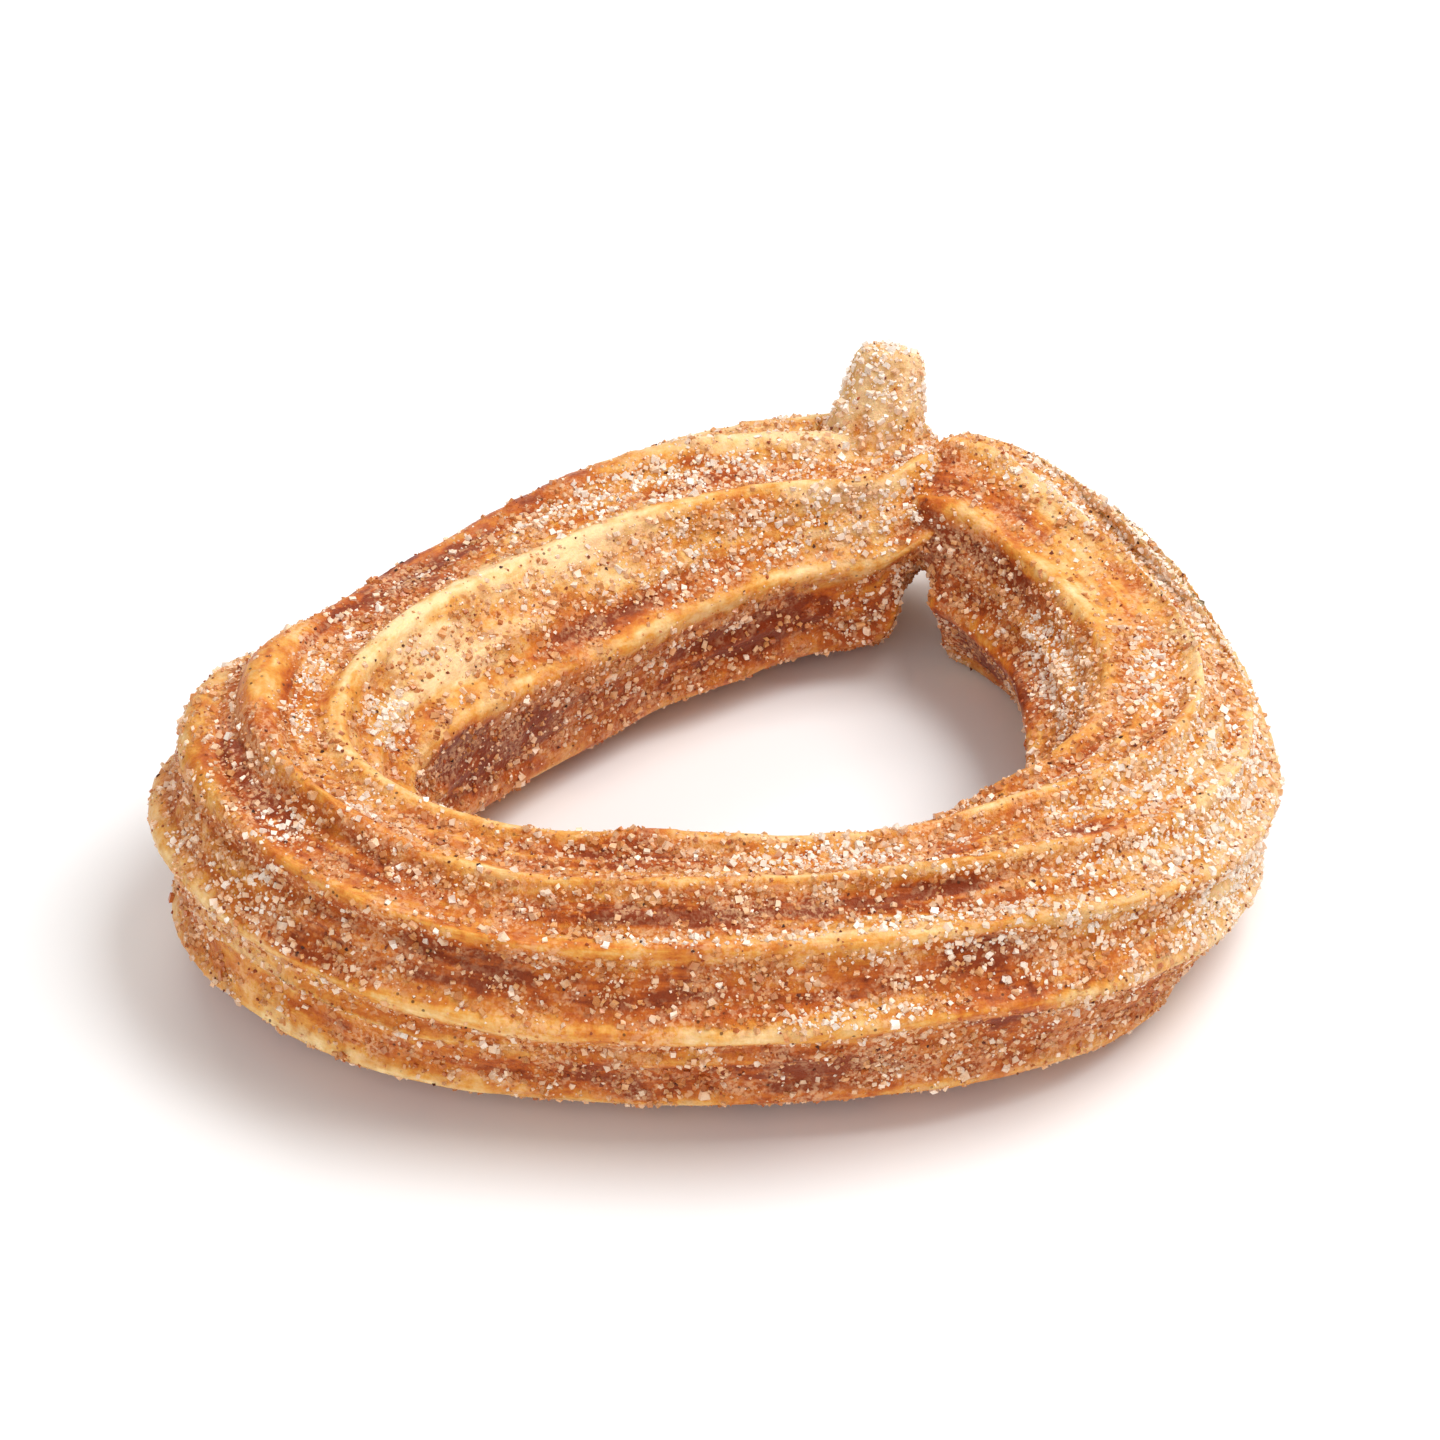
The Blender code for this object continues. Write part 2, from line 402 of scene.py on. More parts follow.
spine, strand_length = spine_mesh()
print("the strand is", round(strand_length / MM), "mm long")

# %% [markdown]
# ## The tail
#
# Where the loop was closed, a blunt tongue of dough was pulled up and stands over the seam. It is a
# short tube along its own B-spline, wider than it is thick, with faint lines up its sides.

# %% Tail
TAIL_ROUTE = [(10.0, 28.0, 10.0), (11.8, 29.8, 15.6), (12.5, 31.0, 19.0), (12.8, 32.0, 21.4)]
TAIL_RADIUS = [4.5, 3.5, 2.8, 2.4]
TAIL_FLATTENING = 0.78
TAIL_CAP = 0.9
TAIL_LINES = 9
TAIL_POINTS_AROUND = 72
TAIL_ALONG = -0.1  # the strand runs from 0 to 1, so that nothing meant for it marks the tail
TAIL_FADE = (16.5, 19.5)  # between these heights its marks fade in from the strand's own


def tail_mesh():
    """A flattened tube with a rounded top, and the same attributes as the strand."""
    line = b_spline(TAIL_ROUTE, 12) - (*BOX_MIDDLE, 0)
    steps = np.linalg.norm(np.diff(line, axis=0), axis=1)
    to_tip = np.append(np.cumsum(steps[::-1])[::-1], 0)
    radii = b_spline([[radius] for radius in TAIL_RADIUS], 12)[:, 0]
    turns = np.linspace(0, 2 * math.pi, TAIL_POINTS_AROUND, endpoint=False)
    bm = bmesh.new()
    crest_layer = bm.verts.layers.float.new("crest")
    side_layer = bm.verts.layers.float_vector.new("side")
    ridge_layer = bm.verts.layers.float_vector.new("ridge")
    flow_layer = bm.verts.layers.float_vector.new("flow")
    rings = []
    for i, (x, y, z) in enumerate(line):
        along = TAIL_ALONG * np.interp(z, TAIL_FADE, (0.35, 1.0))
        direction = Vector(line[min(i + 1, len(line) - 1)] - line[max(i - 1, 0)]).normalized()
        right = direction.cross(Vector((0, 1, 0))).normalized()
        back = right.cross(direction)
        inside = 1 - min(to_tip[i] / TAIL_CAP, 1)
        width = radii[i] * math.sqrt(max(1 - inside**2, 0.01))
        ring = []
        for turn in turns:
            lines = 0.5 + 0.5 * math.cos(TAIL_LINES * turn + 0.4)
            reach = width * (0.95 + 0.05 * lines)
            offset = right * math.cos(turn) * reach + back * math.sin(turn) * reach * TAIL_FLATTENING
            point = bm.verts.new((Vector((x, y, z)) + offset) * MM)
            point[crest_layer] = 0.35 + 0.35 * lines
            point[side_layer] = (0, 1, TAIL_ALONG)
            point[ridge_layer] = (0, 1, along)
            point[flow_layer] = Vector((offset.x, offset.y, z * 0.4)) * MM
            ring.append(point)
        rings.append(ring)
    for lower, upper in zip(rings, rings[1:]):
        for i in range(TAIL_POINTS_AROUND):
            j = (i + 1) % TAIL_POINTS_AROUND
            bm.faces.new((lower[i], lower[j], upper[j], upper[i]))
    bm.faces.new(rings[-1])
    bm.faces.new(rings[0][::-1])
    bmesh.ops.recalc_face_normals(bm, faces=bm.faces)
    mesh = bpy.data.meshes.new("tail")
    bm.to_mesh(mesh)
    bm.free()
    return mesh


tail = bpy.data.objects.new("tail", tail_mesh())
print("tail:", len(tail.data.vertices), "points")

# %% [markdown]
# ## Sweeping the star along the strand
#
# A star-shaped outline pushed along a path could be a bevelled curve, but here the ridges drift,
# crowd together and part, the underside is smoother than the top, and the two ends are blunt, with
# a notch in the seam between them. So the tree starts from a flat grid. One side of the grid counts
# the distance along the strand, the other the turn round it, and a formula sends each grid point to
# its place. Every point keeps its `along`, `crest` and `angle` as attributes for the later steps.


# %% The sweep's tree
def star_skin(tree, given, along, turn, shape):
    """Where a point lies round the strand, how far out, and how high on a ridge it is."""
    radius, drift, valley = parts(tree, shape)
    laid = turn + given["First ridge"]
    spread = given["Crowding"] * (laid - given["Crowding from"]).sin()
    spread = spread + valley * (laid - given["Valley side"]).sin()
    angle = laid + spread + drift
    phase = turn * given["Ridges"]
    phase = phase + given["Ridge lean"] * phase.sin()
    crest = (0.5 + 0.5 * phase.cos()) ** given["Ridge sharpness"]
    wander = given["Ridge wander"] * (along * (8 * math.pi) + turn * 3.0).sin()
    height = crest * (1.0 - given["Ridge wander"] + wander)
    patchy = add_node(tree, "ShaderNodeCombineXYZ", {"X": turn.cos(), "Y": turn.sin(), "Z": along * 5.0})
    height = height * (1.0 + (noise(tree, patchy, 0.45, 1.0, 0.5, 51.0) - 0.5) * given["Ridge patchiness"])
    fine = (0.5 + 0.5 * (turn * given["Ridges"] * 3.0 + 1.9).cos()) ** 2.0
    fine = fine * noise(tree, patchy, 0.5, 1.0, 0.5, 52.0).ramp(0.46, 0.6) * (1.0 - crest)
    height = height + fine * given["Fine ridges"]
    crest = crest.math("MAXIMUM", fine * 0.7)
    underside = (-angle.sin()).math("MAXIMUM", 0.0) ** 2.0
    depth = given["Ridge depth"] * (1.0 - given["Underside smoothing"] * underside)
    return radius, angle, crest, height, depth


def cap_width(distance, cap, squareness):
    """How wide the strand is at this distance from a blunt tip, from 0 to 1."""
    inside = 1.0 - (distance / cap).clamp()
    return (1.0 - inside**squareness).math("MAXIMUM", 0.0) ** (1.0 / squareness)


def notch_pull(given, distance, notch, below):
    """How far the notch pulls the skin back at this distance from a tip."""
    share = (below / given["Notch edge"]).clamp()
    fade = (1.0 - distance / given["Notch reach"]).clamp()
    return notch * share * share * (3.0 - 2.0 * share) * fade


Wire.__rtruediv__ = lambda self, other: (self**-1.0) * other


def sweep_tree(sizes):
    tree, given = new_tree("churro sweep", sizes)
    curve = add_node(tree, "GeometryNodeMeshToCurve", {"Mesh": given["Mesh"]})
    length = add_node(tree, "GeometryNodeCurveLength", {"Curve": curve})
    grid_inputs = {"Size X": 1.0, "Size Y": 1.0, "Vertices X": given["Rings"], "Vertices Y": given["Points around"]}
    grid = add_node(tree, "GeometryNodeMeshGrid", grid_inputs)
    place = add_node(tree, "GeometryNodeInputPosition")
    x, y = (add_node(tree, "ShaderNodeSeparateXYZ", {0: place}, i) for i in range(2))
    along = (x + 0.5).clamp()
    turn = (y + 0.5) * (2 * math.pi)
    shape_field = add_node(tree, "GeometryNodeInputNamedAttribute", {"Name": "shape"}, data_type="FLOAT_VECTOR")

    def on_curve(share, output):
        inputs = {"Curves": curve, "Factor": share}
        wire = add_node(tree, "GeometryNodeSampleCurve", inputs, output, data_type="FLOAT_VECTOR", mode="FACTOR")
        plug(tree, shape_field, next(s for s in wire.socket.node.inputs if s.name == "Value"))
        return wire

    radius, angle, crest, height, depth = star_skin(tree, given, along, turn, on_curve(along, "Value"))
    distance = along * length
    to_end = length - distance
    squareness = given["Cap squareness"]
    width = cap_width(distance, given["Left cap"], squareness) * cap_width(to_end, given["Right cap"], squareness)
    reach = radius * width * (1.0 - depth * width * (1.0 - height))
    below = -((angle + given["Notch tilt"]).sin()) * width
    pull = notch_pull(given, distance, given["Left notch"], below)
    pull = pull - notch_pull(given, to_end, given["Right notch"], below)
    pulled = ((distance + pull) / length).clamp()
    centre = on_curve(pulled, "Position")
    outward = vector_math(tree, "CROSS_PRODUCT", on_curve(pulled, "Tangent"), (0, 0, 1))
    sideways = vector_math(tree, "SCALE", outward, reach * angle.cos())
    lift = (radius - given["Sink"] + reach * angle.sin()).math("MAXIMUM", 0.0)
    upward = add_node(tree, "ShaderNodeCombineXYZ", {"Z": lift})
    skin = vector_math(tree, "ADD", vector_math(tree, "ADD", centre, sideways), upward)

    side = add_node(tree, "ShaderNodeCombineXYZ", {"X": angle.cos(), "Y": angle.sin(), "Z": along})
    flow_inputs = {"X": radius * turn.cos(), "Y": radius * turn.sin(), "Z": distance * given["Stretch"]}
    flow = add_node(tree, "ShaderNodeCombineXYZ", flow_inputs)
    mesh = store(tree, grid, "crest", crest, "FLOAT")
    mesh = store(tree, mesh, "side", side, "FLOAT_VECTOR")
    mesh = store(tree, mesh, "flow", flow, "FLOAT_VECTOR")
    ridge = add_node(tree, "ShaderNodeCombineXYZ", {"X": turn.cos(), "Y": turn.sin(), "Z": along})
    mesh = store(tree, mesh, "ridge", ridge, "FLOAT_VECTOR")
    mesh = add_node(tree, "GeometryNodeSetPosition", {"Geometry": mesh, "Position": skin})
    mesh = add_node(tree, "GeometryNodeMergeByDistance", {"Geometry": mesh, "Distance": 0.002 * MM})
    joined = tree.nodes.new("GeometryNodeJoinGeometry")
    tail_info = add_node(tree, "GeometryNodeObjectInfo", {"Object": given["Tail"]}, "Geometry")
    for part in (tail_info, mesh):
        tree.links.new(part.socket, joined.inputs[0])
    close_tree(tree, Wire(tree, joined.outputs[0]))
    return tree


# %% [markdown]
# The crust's material is set up further on. An empty one with its name stands in until then.

# %% Sweep the strand
crust_material = bpy.data.materials.new("fried_crust")
SWEEP_SIZES = {"Tail": tail, "Rings": 470, "Points around": 177, **RIDGE_SIZES, **END_SIZES}
SWEEP_SIZES["Material"] = crust_material
strand = run_tree(sweep_tree(SWEEP_SIZES), spine, SWEEP_SIZES)
print("strand:", len(strand.vertices), "points,", len(strand.polygons), "faces")

# %% [markdown]
# ## One skin
#
# The strand crosses itself at the seam, and the tail only stands in it. A voxel remesh turns the
# whole into one closed skin, as pressed dough is one piece. It forgets the attributes, so the next
# tree takes them again from the nearest place on the swept strand.
#
# The same tree gives the skin what frying does to it: slow dents and swellings a few millimetres
# wide, fine tears that run along the ridges, small blisters, and a crumbly layer of cinnamon sugar in
# the grooves. It ends by working out where the sugar sticks, which the crystals use later.

# %% Remesh
VOXEL = 0.41 * MM


def remeshed(mesh, voxel):
    """One closed skin round everything in a mesh."""
    carrier = bpy.data.objects.new("carrier", mesh)
    bpy.context.scene.collection.objects.link(carrier)
    remesh = carrier.modifiers.new("remesh", "REMESH")
    remesh.mode = "VOXEL"
    remesh.voxel_size = voxel
    result = plain_copy(carrier)
    bpy.data.objects.remove(carrier)
    return result


skin = remeshed(strand, VOXEL)
print("skin:", len(skin.polygons), "faces")


# %% Relief
def pushed_out(tree, mesh, distance):
    """Moves the points along their normals."""
    normal = add_node(tree, "GeometryNodeInputNormal")
    offset = vector_math(tree, "SCALE", normal, distance)
    return add_node(tree, "GeometryNodeSetPosition", {"Geometry": mesh, "Offset": offset})


def spot_distance(tree, side, along, degrees, half_length, half_width):
    """How far each point is from a spot's middle, where 1 is the spot's edge."""
    turn = math.radians(degrees)
    centre = (math.cos(turn), math.sin(turn), along)
    scale = (STRAND_RADIUS / half_width, STRAND_RADIUS / half_width, strand_length / MM / half_length)
    apart = vector_math(tree, "MULTIPLY", vector_math(tree, "SUBTRACT", side, centre), scale)
    return vector_math(tree, "LENGTH", apart, output=1)


def spots(tree, side, wobble, places):
    """How strongly the nearest of these soft-edged spots marks each point, 0 to 1."""
    total = 0.0
    for *place, strength in places:
        near = (spot_distance(tree, side, *place) + wobble).ramp(1.25, 0.45) * strength
        total = near.math("MAXIMUM", total)
    return total


def lumps(tree, side, places):
    """The height of broad smooth swellings and dents, in metres."""
    total = 0.0
    for *place, height in places:
        total = spot_distance(tree, side, *place).ramp(1.0, 0.0) * (height * MM) + total
    return total


def relief_tree(sizes):
    tree, given = new_tree("crust relief", sizes)
    swept = add_node(tree, "GeometryNodeObjectInfo", {"Object": given["Swept strand"]}, "Geometry")
    mesh = given["Mesh"]
    for name, kind in (("crest", "FLOAT"), *((name, "FLOAT_VECTOR") for name in ("side", "ridge", "flow"))):
        nearest = add_node(tree, "GeometryNodeSampleNearestSurface", {"Mesh": swept}, data_type=kind)
        inputs = nearest.socket.node.inputs
        plug(tree, named(tree, name, kind), next(socket for socket in inputs if socket.name == "Value"))
        mesh = store(tree, mesh, name, nearest, kind)
    position = add_node(tree, "GeometryNodeInputPosition")
    blurred = add_node(tree, "GeometryNodeBlurAttribute", {"Iterations": 1}, data_type="FLOAT_VECTOR")
    plug(tree, position, next(s for s in blurred.socket.node.inputs if s.name == "Value" and s.enabled))
    mesh = add_node(tree, "GeometryNodeSetPosition", {"Geometry": mesh, "Position": blurred})

    crest = named(tree, "crest", "FLOAT")
    flow = named(tree, "flow", "FLOAT_VECTOR")
    side = named(tree, "side", "FLOAT_VECTOR")
    ridge = named(tree, "ridge", "FLOAT_VECTOR")
    groove = 1.0 - crest
    patches = noise(tree, position, 5.0 * MM, 2.0, 0.6, 3.0)
    clumps = noise(tree, position, 1.3 * MM, 2.0, 0.6, 7.0)
    wobble = (patches - 0.5) * 1.2 + (clumps - 0.5) * 1.6
    for name, places, raggedness in MARKS:
        mesh = store(tree, mesh, name, spots(tree, ridge, wobble * raggedness, places), "FLOAT")
    fried, bare, snowy, pale = (named(tree, name, "FLOAT") for name in ("fried", "bare", "snowy", "pale"))
    lines = noise(tree, flow, 0.9 * MM, 2.0, 0.6, 8.0)
    shown = (crest + bare * 0.25).ramp(0.5, 0.98) * (0.42 + bare * 0.4)
    cover = 0.62 - shown + (patches - 0.5) * 1.3 + (clumps - 0.5) * 1.8 + (lines - 0.5) * 1.0
    # The sugar thins out low down, for the finer coat there and partly as painted shade on the lower side.
    low = parts(tree, side)[1].ramp(0.1, -0.6)
    cover = cover + snowy * 0.6 - fried * 0.5 - pale * 0.35 - bare * 0.4 - low * 0.15
    mesh = store(tree, mesh, "sugar", cover.clamp(), "FLOAT")
    sugar = named(tree, "sugar", "FLOAT")

    swelling = (noise(tree, position, 9 * MM, 1.0, 0.5, 1.0) - 0.5) * given["Swelling"] * 2.0
    tears = (noise(tree, flow, 1.1 * MM, 2.0, 0.6, 2.0) - 0.5) * given["Tears"] * 2.0
    crumbs = (noise(tree, position, 0.9 * MM, 2.0, 0.7, 5.0) - 0.4) * given["Crumbs"] * 2.0 * sugar
    blister = cells(tree, position, 4.2 * MM).ramp(0.3, 0.05) * patches.ramp(0.5, 0.7) * given["Blisters"]
    fine_tears = (noise(tree, flow, 0.7 * MM, 1.0, 0.5, 6.0) - 0.5) * given["Tears"] * 1.2
    broad = lumps(tree, side, LUMPS)
    mesh = pushed_out(tree, mesh, broad + swelling + tears + fine_tears + crumbs + blister)

    x, y, z = parts(tree, position)
    kept = add_node(tree, "ShaderNodeCombineXYZ", {"X": x, "Y": y, "Z": z.math("MAXIMUM", 0.0)})
    mesh = add_node(tree, "GeometryNodeSetPosition", {"Geometry": mesh, "Position": kept})
    mesh = add_node(tree, "GeometryNodeSetShadeSmooth", {"Geometry": mesh})
    close_tree(tree, mesh)
    return tree


# Each spot: place along the strand (0 to 1), degrees round it (0 outside, 90 on top, 180 inside),
# half its length and half its width in mm, and its strength, or for a lump its height in mm.
LUMPS = [
    (0.1, 45, 24.0, 10.0, 1.5),
    (0.21, 48, 14.0, 9.0, 0.8),
    (0.335, 55, 13.0, 10.0, 1.5),
    (0.42, -10, 12.0, 8.0, -0.8),
    (0.9, 45, 22.0, 10.0, -1.5),
]
# The other marks follow the ridges instead: their second number is the turn round the star, on
# which every ridge keeps its own number (0 low outside, 45, 90, 135 on top, 180 inside).
# Fried spots are orange to red-brown crust, but those at 0.87 to 0.93 along and 158 to 240 round are painted shade on
# the inner wall of the hole.
FRIED_AND_PAINTED_SHADE = [
    (0.5, 28, 28.0, 8.0, 0.2),
    (0.56, 69, 16.0, 1.3, 1.0),
    (0.335, 90, 10.0, 1.5, 0.6),
    (0.99, 165, 3.0, 6.0, 0.5),
    (0.62, 77, 8.0, 1.1, 0.9),
    (0.37, 68, 6.0, 2.2, 0.7),
    (0.46, 25, 8.0, 2.8, 0.6),
    (0.56, 22, 14.0, 2.2, 0.35),
    (0.65, 28, 4.0, 2.0, 0.6),
    (0.55, -30, 12.0, 2.4, 0.5),
    (0.42, -28, 10.0, 2.0, 0.25),
    (0.655, -3, 3.0, 1.8, 0.7),
    (0.535, 120, 5.0, 1.2, 0.6),
    (0.65, 110, 2.0, 2.2, 0.6),
    (0.7, 100, 2.5, 1.6, 0.6),
    (0.22, 106, 6.0, 1.8, 0.5),
    (0.22, 90, 14.0, 2.2, 0.7),
    (0.15, 88, 10.0, 1.6, 0.5),
    (0.275, 194, 4.0, 2.0, 0.8),
    (0.255, 104, 3.0, 1.6, 0.4),
    (0.285, 93, 7.0, 1.4, 0.5),
    (0.13, 118, 8.0, 1.2, 0.4),
    (0.185, 171, 6.0, 1.1, 0.6),
    (0.245, 203, 6.0, 2.4, 0.7),
    (0.1, 205, 9.0, 2.4, 0.9),
    (0.92, 191, 9.0, 0.9, 0.9),
    (0.87, 158, 4.0, 0.8, 0.5),
    (0.93, 165, 4.0, 0.8, 0.5),
    (0.93, 240, 12.0, 3.0, 0.6),
    (0.87, 230, 12.0, 3.0, 0.7),
]
BARE = [
    (0.56, 46, 20.0, 1.4, 0.4),
    (0.5, 50, 5.0, 1.4, 0.7),
    (0.52, -2, 22.0, 1.6, 0.45),
    (0.36, 155, 5.0, 4.0, 0.8),
    (0.445, 118, 6.0, 1.6, 0.7),
    (0.45, 93, 8.0, 0.9, 0.45),
    (0.4, 135, 12.0, 1.3, 0.5),
    (0.31, 134, 12.0, 2.0, 0.7),
    (0.805, 143, 2.5, 1.8, 0.9),
    (0.08, 135, 12.0, 1.0, 0.45),
    (0.12, 180, 14.0, 1.5, 0.5),
    (0.89, 162, 10.0, 3.0, 0.8),
    (0.93, 178, 8.0, 1.6, 0.6),
]
PALE = [
    (TAIL_ALONG, 90, 12.0, 9.0, 0.62),
    (0.045, 72, 16.0, 6.0, 0.5),
    (0.26, 155, 10.0, 3.6, 0.8),
    (0.19, 142, 13.0, 3.0, 0.75),
    (0.43, 335, 12.0, 4.0, 0.4),
    (0.05, 150, 8.0, 3.0, 0.5),
    (0.12, 152, 8.0, 2.5, 0.4),
    (0.4, 115, 8.0, 3.0, 0.3),
    (0.62, 54, 5.0, 1.4, 0.5),
    (0.76, 110, 10.0, 4.0, 0.5),
    (0.75, 68, 9.0, 4.0, 0.5),
    (0.76, 18, 8.0, 4.0, 0.5),
    (0.88, 160, 12.0, 4.0, 0.4),
    (0.9, 80, 16.0, 7.0, 0.55),
    (0.84, 125, 10.0, 5.0, 0.5),
    (0.97, 160, 6.0, 5.0, 0.4),
    (0.955, 140, 8.0, 3.5, 0.6),
]
SNOWY = [
    (TAIL_ALONG, 90, 12.0, 9.0, 0.8),
    (0.03, 95, 8.0, 4.0, 0.6),
    (0.31, 157, 4.0, 2.0, 1.0),
    (0.57, 50, 12.0, 0.8, 0.9),
    (0.62, 56, 5.0, 1.6, 0.9),
    (0.6, 4, 6.0, 0.9, 1.0),
    (0.6, 115, 7.0, 2.6, 0.9),
    (0.4, 60, 1.8, 3.0, 0.8),
    (0.405, 22, 1.8, 2.6, 0.7),
    (0.41, 115, 2.0, 3.0, 0.7),
    (0.65, 88, 6.0, 1.0, 0.6),
    (0.66, 45, 10.0, 4.0, 0.5),
    (0.75, 68, 12.0, 5.0, 0.9),
    (0.76, 18, 10.0, 5.0, 0.9),
    (0.75, 115, 10.0, 4.0, 0.7),
    (0.84, 205, 9.0, 2.6, 0.9),
    (0.9, 80, 16.0, 7.0, 0.85),
    (0.81, 155, 6.0, 3.0, 0.6),
    (0.86, 125, 8.0, 2.6, 0.6),
    (0.0, 135, 7.0, 5.0, 0.7),
    (0.04, 150, 9.0, 3.5, 0.7),
    (0.13, 150, 7.0, 2.5, 0.5),
    (0.12, 112, 14.0, 3.6, 0.7),
    (0.1, 158, 14.0, 3.2, 0.6),
    (0.33, 112, 8.0, 1.5, 0.85),
    (0.945, 132, 8.0, 2.6, 0.65),
]
MARKS = (("fried", FRIED_AND_PAINTED_SHADE, 1.0), ("bare", BARE, 0.6), ("snowy", SNOWY, 1.0), ("pale", PALE, 0.6))
swept_strand = bpy.data.objects.new("swept_strand", strand)
RELIEF_SIZES = {
    "Swept strand": swept_strand,
    "Swelling": 0.28 * MM,
    "Tears": 0.24 * MM,
    "Crumbs": 0.16 * MM,
    "Blisters": 0.3 * MM,
    "Material": crust_material,
}
crust_mesh = run_tree(relief_tree(RELIEF_SIZES), skin, RELIEF_SIZES)
crust_mesh.name = "crust"
print("crust:", len(crust_mesh.polygons), "faces")

# %% Crust piece
crust = bpy.data.objects.new("crust", crust_mesh)
bpy.context.scene.collection.objects.link(crust)
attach(crust, "root")
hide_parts("churro")
print("crust box", [round(side / MM, 1) for side in crust.dimensions], "mm")

# %% [markdown]
# ## The crust's finish
#
# Fried dough is pale gold where it stayed under its own sugar, full gold on the crests, and orange to
# red-brown where the oil was hottest. Ground cinnamon stains the grooves, and sugar dust makes a
# pinkish white bloom over it. Low down and inside the hole the crust is darker, as painted shade.

# %% Shader helpers
def srgb(red, green, blue):
    """A colour given as it looks on a screen, 0 to 255, as the linear colour that a shader needs."""
    shares = [value / 255 for value in (red, green, blue)]
    return (*[s / 12.92 if s <= 0.04045 else ((s + 0.055) / 1.055) ** 2.4 for s in shares], 1)


def mixed(tree, share, first, second):
    """The first colour where share is 0 and the second where it is 1."""
    node = tree.nodes.new("ShaderNodeMix")
    node.data_type = "RGBA"
    for target, value in zip([node.inputs[i] for i in (0, 6, 7)], (share, first, second)):
        plug(tree, value, target)
    return Wire(tree, node.outputs[2])


def colour_steps(tree, value, steps):
    """A colour for each value, from (place, colour) pairs."""
    node = tree.nodes.new("ShaderNodeValToRGB")
    plug(tree, value, node.inputs[0])
    elements = node.color_ramp.elements
    elements[0].position, elements[0].color = steps[0]
    elements[1].position, elements[1].color = steps[-1]
    for place, colour in steps[1:-1]:
        elements.new(place).color = colour
    return Wire(tree, node.outputs[0])


def kept_value(tree, name, output="Fac"):
    """The attribute kept under this name, in a material."""
    return add_node(tree, "ShaderNodeAttribute", (), output, attribute_name=name)


def start_material(material):
    """Clears a material down to its shader, and returns its tree, shader and Object coordinates."""
    material.use_nodes = True
    tree = material.node_tree
    shader = tree.nodes["Principled BSDF"]
    return tree, shader, add_node(tree, "ShaderNodeTexCoord", (), "Object")


def set_bump(tree, shader, height, distance, strength=1.0):
    inputs = {"Height": height, "Distance": distance, "Strength": strength}
    bump = add_node(tree, "ShaderNodeBump", inputs)
    tree.links.new(bump.socket, shader.inputs["Normal"])


# %% Crust finish
CREAM = srgb(250, 216, 162)
PALE_GOLD = srgb(236, 192, 126)
GOLD = srgb(226, 158, 70)
DEEP_GOLD = srgb(210, 122, 40)
ORANGE_BROWN = srgb(184, 86, 24)
RED_BROWN = srgb(128, 44, 12)
CINNAMON_DUST = srgb(164, 72, 28)
SUGAR_DUST = srgb(242, 194, 148)
SPECK = srgb(70, 34, 18)


